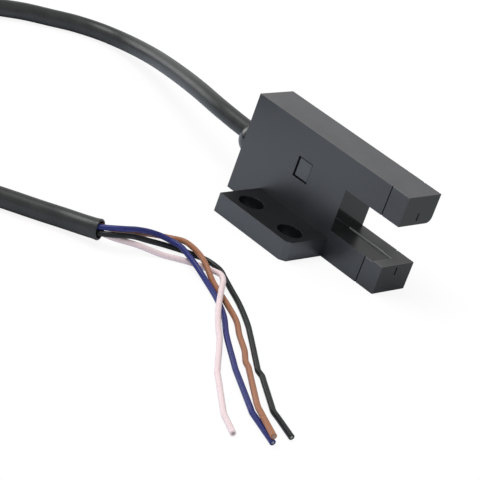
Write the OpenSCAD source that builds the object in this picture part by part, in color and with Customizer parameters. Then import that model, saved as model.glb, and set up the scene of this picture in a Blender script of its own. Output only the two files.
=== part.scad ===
// Fork sensor: a slotted light barrier with a side flange and an attached cable.
// Millimetres. X runs from the cable end to the fork tips and Z up from the mounting face.
// The origin lies midway between the two mounting holes, on the mounting face.

/* [Body] */
// Length from the rear face to the fork tips
body_length = 23.7; // [22.5:0.1:27]
// Thickness from the near face to the far face
body_thickness = 5.5; // [5.4:0.1:6.5]
// Wall of the hollow moulding
wall = 0.8; // [0.6:0.05:0.9]
// Gap between the two prongs
slot_width = 5; // [4.2:0.1:7]
// Depth of the slot, from the tips
slot_depth = 8.1; // [7:0.1:9]
// Height of the lower prong
lower_prong = 3.4; // [3.3:0.1:4.5]
// Height of the upper prong
upper_prong = 3.6; // [3.3:0.1:4.5]
// Radius on the far lower edge of the upper prong
prong_round = 0.8; // [0.2:0.05:1]
// Depth of the step in the slot face of the lower prong
step_depth = 0.15; // [0.1:0.05:0.4]
// Width of that step, from the near face
step_width = 3.35; // [2.5:0.05:4]
// Length of the full-height rim left at the tip of that face
tip_rim = 1.35; // [0.8:0.05:2]

/* [Mounting flange] */
// Length of the flange along the body
flange_length = 11.2; // [10.5:0.1:13]
// Reach of the flange from the near face
flange_reach = 6.4; // [5.6:0.1:8]
// Thickness of the flange
flange_thickness = 2.3; // [1.5:0.1:3]
// Chamfer on the front outer corner of the flange
flange_corner = 0.6; // [0.2:0.1:0.9]
// Diameter of the mounting holes
hole_d = 3; // [2.2:0.1:3.4]
// Distance between the mounting holes
hole_spacing = 6.3; // [5.5:0.1:6.8]
// Distance from the hole centres to the outer edge of the flange
hole_edge = 2.5; // [2:0.1:3]
// Distance from the front hole to the front end of the flange
hole_front = 2.25; // [2:0.05:2.6]

/* [Tip caps] */
// Length of the caps that close the prongs
cap_length = 2.65; // [2.3:0.05:3.2]
// Width of the seam between a cap and its prong
cap_seam = 0.12; // [0.05:0.01:0.2]
// Depth of that seam in the near and far faces
seam_depth = 0.2; // [0.1:0.05:0.4]
// Length of the tongue that slides into the prong
tongue_length = 1.4; // [0.8:0.1:2.5]
// Thickness of that tongue
tongue_thickness = 0.45; // [0.3:0.05:0.6]
// Length of the mark that shows where the beam is
mark_length = 0.95; // [0.5:0.05:1.2]
// Width of that mark
mark_width = 0.2; // [0.1:0.02:0.4]
// Depth of that mark
mark_depth = 0.12; // [0.05:0.01:0.3]

/* [Indicator] */
// Width of the window opening along the body
window_width = 2.2; // [1.8:0.1:2.6]
// Height of the window opening
window_height = 2.5; // [2:0.1:3]
// Distance from the rear face to the window opening
window_rear = 8.1; // [7.6:0.1:9]
// Height of the lower edge of the window opening
window_base = 6.05; // [5.5:0.05:6.5]
// Open gap round the window plate
window_gap = 0.12; // [0.05:0.01:0.2]
// Rim of the window plate behind the wall
window_rim = 0.35; // [0.2:0.05:0.5]

/* [Circuit] */
// Clearance between the board and the far wall
board_gap = 0.4; // [0.3:0.05:0.5]
// Thickness of the board
board_thickness = 0.6; // [0.4:0.05:0.7]
// Distance from the tips to the light beam
beam_set = 2.3; // [2:0.05:2.6]
// Clearance of pieces that slide into each other
fit = 0.05; // [0.02:0.01:0.1]

/* [Cable] */
// Diameter of the jacket
cable_d = 2.2; // [2:0.05:2.3]
// Diameter of one insulated core
core_d = 0.62; // [0.5:0.02:0.64]
// Depth of the resin that closes the rear of the case
resin_depth = 2.4; // [1.5:0.1:2.8]
// Radius of the resin drop round the cable
drop_radius = 1.95; // [1.8:0.05:2]
// Distance from the rear face to the centre of the drop
drop_set = 0.56; // [0.4:0.02:0.7]
// Distance from the axis of the cable down to the centre of the drop
drop_low = 0.5; // [0:0.05:0.6]

/* [Coil] */
// Radius of the coil at the middle of its turns
coil_radius = 12.05; // [11.5:0.05:13]
// Distance between neighbouring turns
coil_pitch = 2.35; // [2.25:0.05:2.4]
// Width of the strap round the coil
tie_width = 2; // [1.5:0.1:3]
// Thickness of that strap
tie_thickness = 0.3; // [0.2:0.05:0.5]

/* [Hidden] */
$fn = 48;

// How far a cut runs past the face that it opens
over = 1;

// Planes along the body
flange_front_x = hole_spacing / 2 + hole_front;
flange_rear_x = flange_front_x - flange_length;
slot_end_x = flange_front_x;
tip_x = slot_end_x + slot_depth;
rear_x = tip_x - body_length;
cap_x = tip_x - cap_length;
beam_x = tip_x - beam_set;

// Planes across the body
flange_edge_y = -hole_edge;
near_y = flange_edge_y + flange_reach;
far_y = near_y + body_thickness;
mid_y = near_y + body_thickness / 2;
board_y = far_y - wall - board_gap - board_thickness;

// Heights
lower_z = lower_prong;
upper_z = lower_prong + slot_width;
top_z = upper_z + upper_prong;
cable_z = 6;

// Marks: distances from the slot faces of the prongs
lower_mark_set = 0.35;
upper_mark_set = 0.5;

// Board outline
board_edge = 0.1;
board_rear_x = rear_x + resin_depth;
board_front_x = slot_end_x - wall - board_edge;
board_past_beam = 0.95;
board_tip_x = beam_x + board_past_beam;
lower_prong_mid_z = lower_prong / 2;
upper_prong_mid_z = upper_z + upper_prong / 2;

// Window centre
window_x = rear_x + window_rear + window_width / 2;
window_z = window_base + window_height / 2;
window_back = 0.4;
window_inset = 0.15;

// Beam parts: width along X, height along Z, and depth that puts the beam on the middle plane
led_size = [1.6, 1.1, 2 * (board_y - mid_y)];
lens_radius = 0.55;
lens_rise = 0.15;

// Components: size along X, along Z and off the board
lamp_size = [1.6, 0.8, 0.6];
resistor_size = [1.6, 0.8, 0.45];
capacitor_size = [1.6, 0.8, 0.8];
diode_size = [1.25, 1.7, 0.9];
transistor_size = [1.3, 2.9, 1];

// Component places: back from the closed end of the slot, and heights
transistor_back = 3.6;
transistor_z = 3.2;
diode_back = 2.6;
diode_below_top = 2.6;
diode_z = top_z - diode_below_top;
resistor_back = 6.55;
resistor_heights = [2.2, 3.5, 4.8];
capacitor_backs = [7.3, 5.2];
capacitor_below_top = 1.55;
capacitor_z = top_z - capacitor_below_top;

// Solder pads: place along X and heights, one for each core
pad_set = 5.2;
pad_x = rear_x + pad_set;
pad_heights = [9.4, 7.2, 4.8, 2.6];
pad_radius = 0.55;
pad_rise = 0.3;

// Bend of the leads: towards the near wall and back from the pads
lead_slack = 0.5;
lead_knee = 0.4;

// Seats of the cores in the jacket: across and up from its axis
core_seats = [[-0.2, 0.4], [0.45, 0.22], [-0.3, -0.25], [0.33, -0.45]];

// Coil: six turns wide and two high
coil_x = -46;
coil_y = -30;
coil_wide = 6;
coil_high = 2;
coil_chamfer = 0.8;
coil_outer_turn = coil_radius + coil_pitch * (coil_wide - 1) / 2;
coil_half = coil_pitch * (coil_wide - 1) / 2 + cable_d / 2;
coil_top_turn = cable_d / 2 + coil_pitch * (coil_high - 1);
coil_height = coil_top_turn + cable_d / 2;
tie_angle = 225;
tie_gap = 0.1;
tie_head = [3.2, 2.6, 1.6];

// Cable route from the sensor to the coil
lead_route = [
    [board_rear_x, mid_y, cable_z],
    [-12.8, mid_y, cable_z],
    [-17.5, 7.1, 6],
    [-23, 8.8, 5.5],
    [-30, 11.7, 4.2],
    [-37, 14.6, 2.6],
    [-42.7, 15.6, 1.5],
    [-46.3, 14.6, 1.15],
    [-48.8, 12.4, 1.1],
    [-50.6, 9.7, 1.1],
    [-52.4, 6.9, 1.1],
    [-53.7, 3.8, 1.1],
    [-57, -3, 1.1],
    [-61, -10, 1.1],
    [-63.5, -16, 1.1],
    [coil_x - coil_outer_turn, -21, 1.1],
    [coil_x - coil_outer_turn, coil_y, 1.1],
];

// Cable route from the coil to the end of the jacket
tail_route = [
    [coil_x, coil_y - coil_outer_turn, coil_top_turn],
    [-36, coil_y - coil_outer_turn, coil_top_turn],
    [-29.5, -46.8, 2.5],
    [-23.5, -43.2, 1.3],
    [-18.8, -38.2, 1.1],
    [-15.4, -34, 1.1],
    [-12.2, -30.4, 1.1],
    [-8.1, -26.8, 1.1],
    [-6.2, -25.2, 1.15],
    [-4.4, -24.2, 1.35],
    [-3.5, -23.8, 1.5],
    [-2.5, -23.4, 1.7],
];
jacket_end = tail_route[len(tail_route) - 1];
jacket_way = [0.913, 0.365, 0.183];
jacket_across = [-0.371, 0.929, 0];
jacket_rise = cross(jacket_way, jacket_across);

// Core routes after the end of the jacket
blue_route = [
    [-0.9, -21.9, 2.6],
    [-0.9, -19.9, 2.3],
    [-0.9, -17.8, 1.8],
    [-0.6, -16.1, 1.3],
    [0.3, -15.3, 1.1],
    [1.4, -15, 1.1],
    [3, -15.3, 1.05],
    [4.6, -15.6, 0.85],
    [6.3, -15.9, 0.5],
    [10.3, -17.5, 0.32],
    [13.1, -19.2, 0.32],
    [16.1, -21.7, 0.32],
    [21.2, -25.3, 0.32],
    [21.9, -25.7, 0.32],
    [27.4, -29.2, 0.32],
    [28.2, -29.6, 0.32],
    [32.4, -31.2, 0.32],
];
brown_route = [
    [-2, -21.7, 1.85],
    [-1.75, -20.4, 1.6],
    [-1.75, -18.4, 1.2],
    [-2, -15.6, 0.55],
    [-1.2, -14.1, 0.5],
    [0.4, -13.5, 0.95],
    [2, -13.6, 1.1],
    [3.7, -14, 1.1],
    [5.1, -14.6, 1.05],
    [7.4, -15.4, 0.4],
    [11.5, -17.1, 0.32],
    [14.3, -18.5, 0.32],
    [16.5, -20.2, 0.32],
    [19, -21.9, 0.32],
    [20.7, -23.4, 0.32],
    [21.5, -23.8, 0.34],
    [27.4, -28.7, 0.9],
    [28.1, -29.2, 0.95],
    [32.4, -31.4, 1.05],
];
black_route = [
    [-1.2, -22.8, 1.8],
    [-0.8, -21.5, 1.8],
    [-0.9, -19.9, 1.45],
    [-0.8, -17.7, 0.8],
    [-0.3, -15.7, 0.36],
    [1, -14.3, 0.32],
    [2.2, -13.4, 0.32],
    [3.5, -12.6, 0.32],
    [5.5, -12.5, 0.32],
    [7, -13.2, 0.32],
    [9, -14.2, 0.32],
    [11.8, -15.6, 0.32],
    [15.2, -17.7, 0.32],
    [16.8, -18.9, 0.32],
    [22.3, -23.2, 0.32],
    [23.2, -23.5, 0.32],
    [28.4, -27.1, 0.32],
    [29.6, -27.5, 0.32],
    [32.3, -28.5, 0.32],
];
pink_route = [
    [-1.5, -22.1, 1.15],
    [-0.1, -19.9, 0.9],
    [1.5, -17.4, 0.36],
    [3.4, -15.1, 0.32],
    [5.4, -13.9, 0.45],
    [6.4, -14, 0.75],
    [7.3, -14.3, 1],
    [8.4, -15.1, 1.05],
    [9.7, -16.6, 1.05],
    [13, -20.2, 0.95],
    [14.9, -21.8, 0.5],
    [16.4, -23, 0.34],
    [20.9, -27.5, 0.32],
    [21.9, -28.5, 0.32],
    [26.9, -32.5, 0.32],
    [27.5, -32.9, 0.32],
    [30, -34.2, 0.32],
];

// Unit vector along v
function unit(v) = v / norm(v);

// Direction of a route at point i, with the ends given where they are known
function way(route, i, leaves, arrives) =
    i == 0 && leaves != undef ? leaves :
    i == len(route) - 1 && arrives != undef ? arrives :
    unit(route[min(i + 1, len(route) - 1)] - route[max(i - 1, 0)]);

// Ring of points round p, square to direction d
function ring(p, d, radius, sides, up) =
    let (across = unit(cross(d, up)), rise = cross(across, d))
    [for (k = [0 : sides - 1]) p + radius * (cos(360 * k / sides) * across + sin(360 * k / sides) * rise)];

// Extrudes a shape drawn in X and Z from y0 to y1
module across_y(y0, y1) {
    translate([0, y1, 0]) rotate([90, 0, 0]) linear_extrude(y1 - y0) children();
}

// Extrudes a shape drawn in Y and Z from x0 to x1
module along_x(x0, x1) {
    translate([x0, 0, 0]) rotate([90, 0, 90]) linear_extrude(x1 - x0) children();
}

// Box between two corners
module box(low, high) {
    translate(low) cube(high - low);
}

// Round cord along a route
module cord(route, d, leaves = undef, arrives = undef, up = [0, 0, 1], sides = 8) {
    last = len(route) - 1;
    points = [for (i = [0 : last]) each ring(route[i], way(route, i, leaves, arrives), d / 2, sides, up)];
    walls = [for (i = [0 : last - 1], k = [0 : sides - 1])
        let (a = i * sides, b = a + sides, next = (k + 1) % sides)
        [a + k, a + next, b + next, b + k]];
    first_end = [for (k = [sides - 1 : -1 : 0]) k];
    last_end = [for (k = [0 : sides - 1]) last * sides + k];
    polyhedron(points, concat([first_end], walls, [last_end]));
}

// Core that leaves the end of the jacket at its own seat
module loose_core(seat, route) {
    start = jacket_end + seat[0] * jacket_across + seat[1] * jacket_rise;
    cord(concat([start], route), core_d, leaves = jacket_way);
}

// Cut that rounds the far lower edge of the upper prong
module prong_round_cut(x0, x1) {
    along_x(x0, x1) difference() {
        translate([far_y - prong_round, upper_z - over]) square([prong_round + over, prong_round + over]);
        translate([far_y - prong_round, upper_z + prong_round]) circle(prong_round);
    }
}

// Cut that lowers the near part of the slot face of the lower prong, with a sloped side
module step_cut() {
    side_y = near_y + step_width;
    along_x(slot_end_x, tip_x - tip_rim) polygon([
        [near_y - over, lower_z - step_depth],
        [side_y - step_depth, lower_z - step_depth],
        [side_y, lower_z],
        [side_y, lower_z + over],
        [near_y - over, lower_z + over],
    ]);
}

// Body with its two prongs, up to the caps
module fork_solid() {
    across_y(near_y, far_y) polygon([
        [rear_x, 0], [cap_x, 0], [cap_x, lower_z], [slot_end_x, lower_z],
        [slot_end_x, upper_z], [cap_x, upper_z], [cap_x, top_z], [rear_x, top_z],
    ]);
}

// Hollow inside the body, open at the rear and at the prong ends
module fork_hollow() {
    inner_x = slot_end_x - wall;
    across_y(near_y + wall, far_y - wall) polygon([
        [rear_x - over, wall], [cap_x + over, wall],
        [cap_x + over, lower_z - wall], [inner_x, lower_z - wall],
        [inner_x, upper_z + wall], [cap_x + over, upper_z + wall],
        [cap_x + over, top_z - wall], [rear_x - over, top_z - wall],
    ]);
}

// Flange with its chamfered corner, rooted in the near wall
module flange_solid() {
    linear_extrude(flange_thickness) polygon([
        [flange_rear_x, near_y + wall / 2], [flange_rear_x, flange_edge_y],
        [flange_front_x - flange_corner, flange_edge_y], [flange_front_x, flange_edge_y + flange_corner],
        [flange_front_x, near_y + wall / 2],
    ]);
}

// Moulded case
module case() {
    color([0.2, 0.21, 0.24]) difference() {
        union() {
            fork_solid();
            flange_solid();
        }
        fork_hollow();
        step_cut();
        prong_round_cut(slot_end_x, cap_x + over);
        for (side = [-1, 1])
            translate([side * hole_spacing / 2, 0, -over])
                cylinder(d = hole_d, h = flange_thickness + 2 * over);
        box([window_x - window_width / 2, near_y - over, window_base],
            [window_x + window_width / 2, near_y + wall + over, window_base + window_height]);
    }
}

// Cap that closes a prong between heights z0 and z1, with its mark between m0 and m1
module prong_cap(z0, z1, m0, m1) {
    tongue_y = near_y + wall + fit;
    difference() {
        union() {
            box([cap_x, near_y, z0], [tip_x, far_y, z1]);
            box([cap_x - tongue_length, tongue_y, z0 + wall + fit],
                [tip_x - wall, tongue_y + tongue_thickness, z1 - wall - fit]);
        }
        box([cap_x - over, tongue_y + tongue_thickness, z0 + wall], [tip_x - wall, far_y - wall, z1 - wall]);
        for (y = [near_y, far_y])
            box([cap_x - over, y - seam_depth, z0 - over], [cap_x + cap_seam, y + seam_depth, z1 + over]);
        box([tip_x - mark_depth, mid_y - mark_width / 2, m0], [tip_x + over, mid_y + mark_width / 2, m1]);
    }
}

module emitter_cap() {
    mark_top = lower_z - lower_mark_set;
    color([0.22, 0.23, 0.25]) difference() {
        prong_cap(0, lower_z, mark_top - mark_length, mark_top);
        step_cut();
    }
}

module receiver_cap() {
    mark_base = upper_z + upper_mark_set;
    color([0.22, 0.23, 0.25]) difference() {
        prong_cap(upper_z, top_z, mark_base, mark_base + mark_length);
        prong_round_cut(cap_x, tip_x + over);
    }
}

// Window plate set in the near wall, with a rim behind it
module indicator_window() {
    plate = [window_width / 2 - window_gap, window_height / 2 - window_gap];
    rim = [window_width / 2 + window_rim, window_height / 2 + window_rim];
    color([0.26, 0.27, 0.29]) {
        across_y(near_y + window_inset, near_y + wall)
            translate([window_x, window_z]) square(2 * plate, center = true);
        across_y(near_y + wall, near_y + wall + window_back)
            translate([window_x, window_z]) square(2 * rim, center = true);
    }
}

// Potting in the rear of the case and the drop round the cable
module resin_seal() {
    drop_end_x = rear_x - drop_set - drop_radius - over;
    color([0.08, 0.08, 0.09]) difference() {
        union() {
            box([rear_x, near_y + wall, wall], [rear_x + resin_depth, far_y - wall, top_z - wall]);
            intersection() {
                translate([rear_x - drop_set, mid_y, cable_z - drop_low]) sphere(drop_radius);
                box([drop_end_x, near_y - over, 0], [rear_x, far_y + over, top_z]);
            }
        }
        translate([drop_end_x, mid_y, cable_z]) rotate([0, 90, 0])
            cylinder(d = cable_d + 2 * fit, h = rear_x + resin_depth + over - drop_end_x);
    }
}

// Fork-shaped board that stands behind the near wall
module circuit_board() {
    low = wall + board_edge;
    high = top_z - wall - board_edge;
    lower_high = lower_z - wall - board_edge;
    upper_low = upper_z + wall + board_edge;
    color([0.1, 0.32, 0.18]) across_y(board_y, board_y + board_thickness) polygon([
        [board_rear_x, low], [board_tip_x, low], [board_tip_x, lower_high], [board_front_x, lower_high],
        [board_front_x, upper_low], [board_tip_x, upper_low], [board_tip_x, high], [board_rear_x, high],
    ]);
}

// Chip on the front of the board: size along X, along Z and off the board
module chip(x, z, size) {
    box([x - size[0] / 2, board_y - size[2], z - size[1] / 2], [x + size[0] / 2, board_y, z + size[1] / 2]);
}

// Optical part at the beam, with its lens towards the slot
module beam_part(z, facing) {
    lens_top = led_size[1] / 2 + lens_rise;
    chip(beam_x, z, led_size);
    intersection() {
        translate([beam_x, mid_y, z + facing * (lens_top - lens_radius)]) sphere(lens_radius);
        box([beam_x - lens_radius, mid_y - lens_radius, z - lens_top],
            [beam_x + lens_radius, mid_y + lens_radius, z + lens_top]);
    }
}

module emitter_led() {
    color([0.55, 0.6, 0.72]) beam_part(lower_prong_mid_z, 1);
}

module receiver_ic() {
    color([0.12, 0.12, 0.14]) beam_part(upper_prong_mid_z, -1);
}

// Lamp behind the window
module indicator_led() {
    color([0.9, 0.35, 0.2]) chip(window_x, window_z, lamp_size);
}

// Transistor with three bent leads
module output_transistor() {
    middle = [slot_end_x - transistor_back, transistor_z];
    body = transistor_size;
    lead_width = 0.4;
    lead_reach = 0.55;
    lead_rise = 0.5;
    sheet = 0.13;
    color([0.1, 0.1, 0.11]) {
        across_y(board_y - body[2], board_y - sheet)
            translate(middle) square([body[0], body[1]], center = true);
        for (lead = [[-1, -0.95], [-1, 0.95], [1, 0]]) {
            root_x = middle[0] + lead[0] * body[0] / 2;
            toe_x = root_x + lead[0] * lead_reach;
            bend_x = root_x + lead[0] * (lead_reach / 2 + sheet);
            low = middle[1] + lead[1] - lead_width / 2;
            box([min(root_x, bend_x), board_y - lead_rise - sheet, low],
                [max(root_x, bend_x), board_y - lead_rise, low + lead_width]);
            box([bend_x - sheet / 2, board_y - lead_rise - sheet, low],
                [bend_x + sheet / 2, board_y, low + lead_width]);
            box([min(bend_x, toe_x), board_y - sheet, low],
                [max(bend_x, toe_x), board_y, low + lead_width]);
        }
    }
}

module protection_diode() {
    color([0.14, 0.14, 0.15]) chip(slot_end_x - diode_back, diode_z, diode_size);
}

module chip_resistors() {
    color([0.18, 0.18, 0.2])
        for (height = resistor_heights) chip(slot_end_x - resistor_back, height, resistor_size);
}

module chip_capacitors() {
    color([0.72, 0.6, 0.45])
        for (back = capacitor_backs) chip(slot_end_x - back, capacitor_z, capacitor_size);
}

// Cores from the inner end of the jacket to their pads
module inner_leads() {
    slack_y = mid_y - lead_slack;
    color([0.6, 0.45, 0.4])
        for (i = [0 : 3]) {
            start = [board_rear_x, mid_y + core_seats[i][0], cable_z + core_seats[i][1]];
            knee = [pad_x - lead_knee, slack_y, pad_heights[i]];
            finish = [pad_x, board_y - pad_rise, pad_heights[i]];
            cord([start, knee, finish], core_d, leaves = [1, 0, 0], arrives = [0, 1, 0], up = [0.2, 0.1, 1]);
        }
}

module solder_joints() {
    color([0.75, 0.75, 0.77])
        for (height = pad_heights)
            translate([pad_x, board_y, height]) rotate([90, 0, 0])
                cylinder(r1 = pad_radius, r2 = core_d / 2 + fit, h = pad_rise);
}

module cable_lead() {
    color([0.24, 0.25, 0.25]) cord(lead_route, cable_d, leaves = [-1, 0, 0], arrives = [0, -1, 0]);
}

module cable_tail() {
    color([0.24, 0.25, 0.25]) cord(tail_route, cable_d, leaves = [1, 0, 0], arrives = jacket_way);
}

// Wound length of the cable, with the way in, the way out and room for the strap
module cable_coil() {
    groove = cable_d + 2 * fit;
    reach = coil_radius + coil_half + over;
    color([0.24, 0.25, 0.25]) translate([coil_x, coil_y, 0]) difference() {
        rotate_extrude() translate([coil_radius, coil_height / 2]) polygon([
            [-coil_half, -coil_height / 2], [coil_half, -coil_height / 2],
            [coil_half, coil_height / 2 - coil_chamfer], [coil_half - coil_chamfer, coil_height / 2],
            [coil_chamfer - coil_half, coil_height / 2], [-coil_half, coil_height / 2 - coil_chamfer],
        ]);
        translate([-coil_outer_turn, 0, cable_d / 2]) rotate([-90, 0, 0]) cylinder(d = groove, h = reach);
        translate([-coil_outer_turn - groove / 2, 0, -over]) cube([groove, reach, cable_d / 2 + over]);
        translate([0, -coil_outer_turn, coil_top_turn]) rotate([0, 90, 0]) cylinder(d = groove, h = reach);
        translate([0, -coil_outer_turn - groove / 2, coil_top_turn])
            cube([reach, groove, cable_d / 2 + over]);
        rotate([0, 0, tie_angle])
            box([coil_radius - coil_half - over, -tie_width / 2 - tie_gap, -over],
                [coil_radius + coil_half + over, tie_width / 2 + tie_gap, tie_thickness + tie_gap]);
    }
}

// Strap round the coil with its head on top
module coil_tie() {
    inner = coil_half + tie_gap;
    outer = inner + tie_thickness;
    inner_top = coil_height + tie_thickness + tie_gap;
    head_top = inner_top + tie_head[2];
    color([0.1, 0.1, 0.1]) translate([coil_x, coil_y, 0]) rotate([0, 0, tie_angle])
    translate([coil_radius, 0, 0]) {
        difference() {
            box([-outer, -tie_width / 2, 0], [outer, tie_width / 2, inner_top + tie_thickness]);
            box([-inner, -tie_width, tie_thickness], [inner, tie_width, inner_top]);
        }
        box([-tie_head[0] / 2, -tie_head[1] / 2, inner_top],
            [tie_head[0] / 2, tie_head[1] / 2, head_top]);
    }
}

module core_blue() {
    color([0.16, 0.17, 0.45]) loose_core(core_seats[0], blue_route);
}

module core_brown() {
    color([0.62, 0.38, 0.25]) loose_core(core_seats[1], brown_route);
}

module core_black() {
    color([0.12, 0.13, 0.13]) loose_core(core_seats[2], black_route);
}

module core_pink() {
    color([0.9, 0.82, 0.85]) loose_core(core_seats[3], pink_route);
}

case();
emitter_cap();
receiver_cap();
indicator_window();
resin_seal();
circuit_board();
emitter_led();
receiver_ic();
indicator_led();
output_transistor();
protection_diode();
chip_resistors();
chip_capacitors();
inner_leads();
solder_joints();
cable_lead();
cable_coil();
coil_tie();
cable_tail();
core_blue();
core_brown();
core_black();
core_pink();
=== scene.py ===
import math

import bmesh
import bpy
from bpy.props import FloatProperty, FloatVectorProperty, IntProperty, PointerProperty
from bpy.types import Operator, Panel, PropertyGroup
from mathutils import Matrix, Vector


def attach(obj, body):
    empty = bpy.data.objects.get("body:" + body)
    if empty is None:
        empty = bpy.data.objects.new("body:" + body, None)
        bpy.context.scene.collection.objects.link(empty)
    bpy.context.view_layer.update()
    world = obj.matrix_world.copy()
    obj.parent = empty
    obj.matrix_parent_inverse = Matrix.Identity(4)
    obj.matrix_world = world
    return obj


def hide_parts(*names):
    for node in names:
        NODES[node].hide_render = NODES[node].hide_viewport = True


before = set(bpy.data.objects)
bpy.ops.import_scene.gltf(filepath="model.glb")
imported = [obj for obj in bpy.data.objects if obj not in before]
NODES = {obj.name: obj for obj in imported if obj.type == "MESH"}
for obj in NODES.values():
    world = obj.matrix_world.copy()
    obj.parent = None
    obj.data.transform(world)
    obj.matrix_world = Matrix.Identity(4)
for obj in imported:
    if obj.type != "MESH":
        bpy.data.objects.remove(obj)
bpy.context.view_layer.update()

bl_info = {
    "name": "Fork sensor",
    "version": (1, 0, 0),
    "blender": (4, 5, 0),
    "location": "View3D > Sidebar > Fork sensor",
    "description": "Dresses the fork sensor with its cable, cores, housing and studio stage",
    "category": "Object",
}

MM = 0.001
BODY = "root"

# Reach within which points become one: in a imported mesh, in a rounded mesh and in a turned mesh
WELD_REACH = 2e-6
MERGE_REACH = 0.0005 * MM
SPIN_REACH = 1e-7

# Angle in degrees up to which neighbouring faces count as one flat face
FLAT_ANGLE = 0.4

# Angle in degrees from which the edges of a cord stay sharp
CORD_SHARP = 50

# Rounding of the edges of the strap and of the resin
STRAP_EDGE = 0.1 * MM
RESIN_EDGE = 0.15 * MM

# Finishes of case and caps, in the order of their material slots: plain, dull with painted shade, satin with
# painted shade, lighter with a painted highlight, and smooth with painted shade
PLASTIC, SHADED_DULL, SHADED_SATIN, PAINTED_HIGHLIGHT, SHADED_SMOOTH = range(5)

# Faces that look up are duller and darker below one height, a painted shade, and most so between two, in the
# recess of the slot
LOW_FACES = 4 * MM
RECESS_HEIGHTS = (3 * MM, 3.3 * MM)

# Share of its normal with which a face looks straight along an axis, or still looks up at a slope
STRAIGHT = 0.9
SLOPED = 0.5

# Closed end of the slot, and how near to a plane a face counts as in it
SLOT_END = 5.4 * MM
PLANE_REACH = 0.01 * MM

# Beam marks: plane of the tips, middle plane of the body, and a depth and half width that take the marks in
TIP_FACE = 13.5 * MM
MIDDLE_PLANE = 6.65 * MM
MARK_DEPTH = 0.13 * MM
MARK_REACH = 0.11 * MM

# Walls of the mounting holes: distance of their centres from the origin, and a radius that takes them in
HOLE_PLACE = 3.15 * MM
HOLE_REACH = 1.6 * MM

# Steps of a smooth curve from each given point to the next
CURVE_STEPS = 24

# Distance between the points of the lines of cable and cores, and number of sides of their round sections
CABLE_STEP = 0.6 * MM
CORE_STEP = 0.125 * MM
CABLE_SIDES = 28
CORE_SIDES = 20

# Coil: centre in millimetres, turns side by side, part of a turn left open, and angle between its points
COIL_CENTRE = (-46, -30)
COIL_WIDE = 6
COIL_OPEN = 0.75
COIL_STEP = math.radians(7.5)

# Turns lie high up to one distance from the middle of the strap, and come down over the other
TIE_REACH = 1.3 * MM
TIE_FADE = 5 * MM

# Distance of the guide points that lead the cable into the coil and out of it
COIL_ENTRY = 9 * MM
COIL_LEAVE = 10 * MM

# Cut end of the jacket: overlap with the cord, cover over its surface, and height of the hollow's floor
MOUTH_OVERLAP = 0.1 * MM
MOUTH_COVER = 0.003 * MM
MOUTH_FLOOR = 0.05 * MM

# Rim of the cut end: height where it starts, then shares of the flare with heights in millimetres
RIM_START = -0.7 * MM
RIM_POINTS = [(0.4, -0.35), (1, -0.12), (0.8, -0.03)]

# Cut face of the jacket: its height, and how far its inner edge is broken across and down to
LIP_TOP = 0.02 * MM
LIP_ACROSS = 0.06 * MM
LIP_FOOT = -0.04 * MM

# Length of a core inside the jacket, in millimetres
CORE_INSIDE = 1.4

# Strands of a core: radius, length, depth of their middle under the cut end, spacing in radii, and sides
STRAND_RADIUS = 0.05 * MM
STRAND_LENGTH = 0.3 * MM
STRAND_DEPTH = 0.13 * MM
STRAND_SPACING = 2.05
STRAND_SIDES = 10

# Cable route from inside the resin to the coil, in millimetres
LEAD_ROUTE = [
    (-7.8, 6.65, 6),
    (-12.8, 6.65, 6),
    (-17.5, 7.1, 6),
    (-23, 8.8, 5.5),
    (-30, 11.7, 4.2),
    (-37, 14.6, 2.6),
    (-42.7, 15.6, 1.5),
    (-46.3, 14.6, 1.15),
    (-48.8, 12.4, 1.1),
    (-50.6, 9.7, 1.1),
    (-52.4, 6.9, 1.1),
    (-53.7, 3.8, 1.1),
    (-57, -3, 1.1),
    (-61, -10, 1.1),
    (-63.5, -16, 1.1),
]

# Cable route from the coil to the end of the jacket, in millimetres
TAIL_ROUTE = [
    (-29.5, -46.8, 2.5),
    (-23.5, -43.2, 1.3),
    (-18.8, -38.2, 1.1),
    (-15.4, -34, 1.1),
    (-12.2, -30.4, 1.1),
    (-8.1, -26.8, 1.1),
    (-6.2, -25.2, 1.15),
    (-4.4, -24.2, 1.35),
    (-3.5, -23.8, 1.5),
    (-2.5, -23.4, 1.7),
]

# Direction of the jacket at its cut end, and the level direction across it
JACKET_WAY = (0.913, 0.365, 0.183)
JACKET_ACROSS = (-0.371, 0.929, 0)

# Seat of each core in the jacket, across and above its axis, in millimetres
CORE_SEATS = {
    "blue": (-0.2, 0.4),
    "brown": (0.45, 0.22),
    "black": (-0.3, -0.25),
    "pink": (0.33, -0.45),
}

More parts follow.
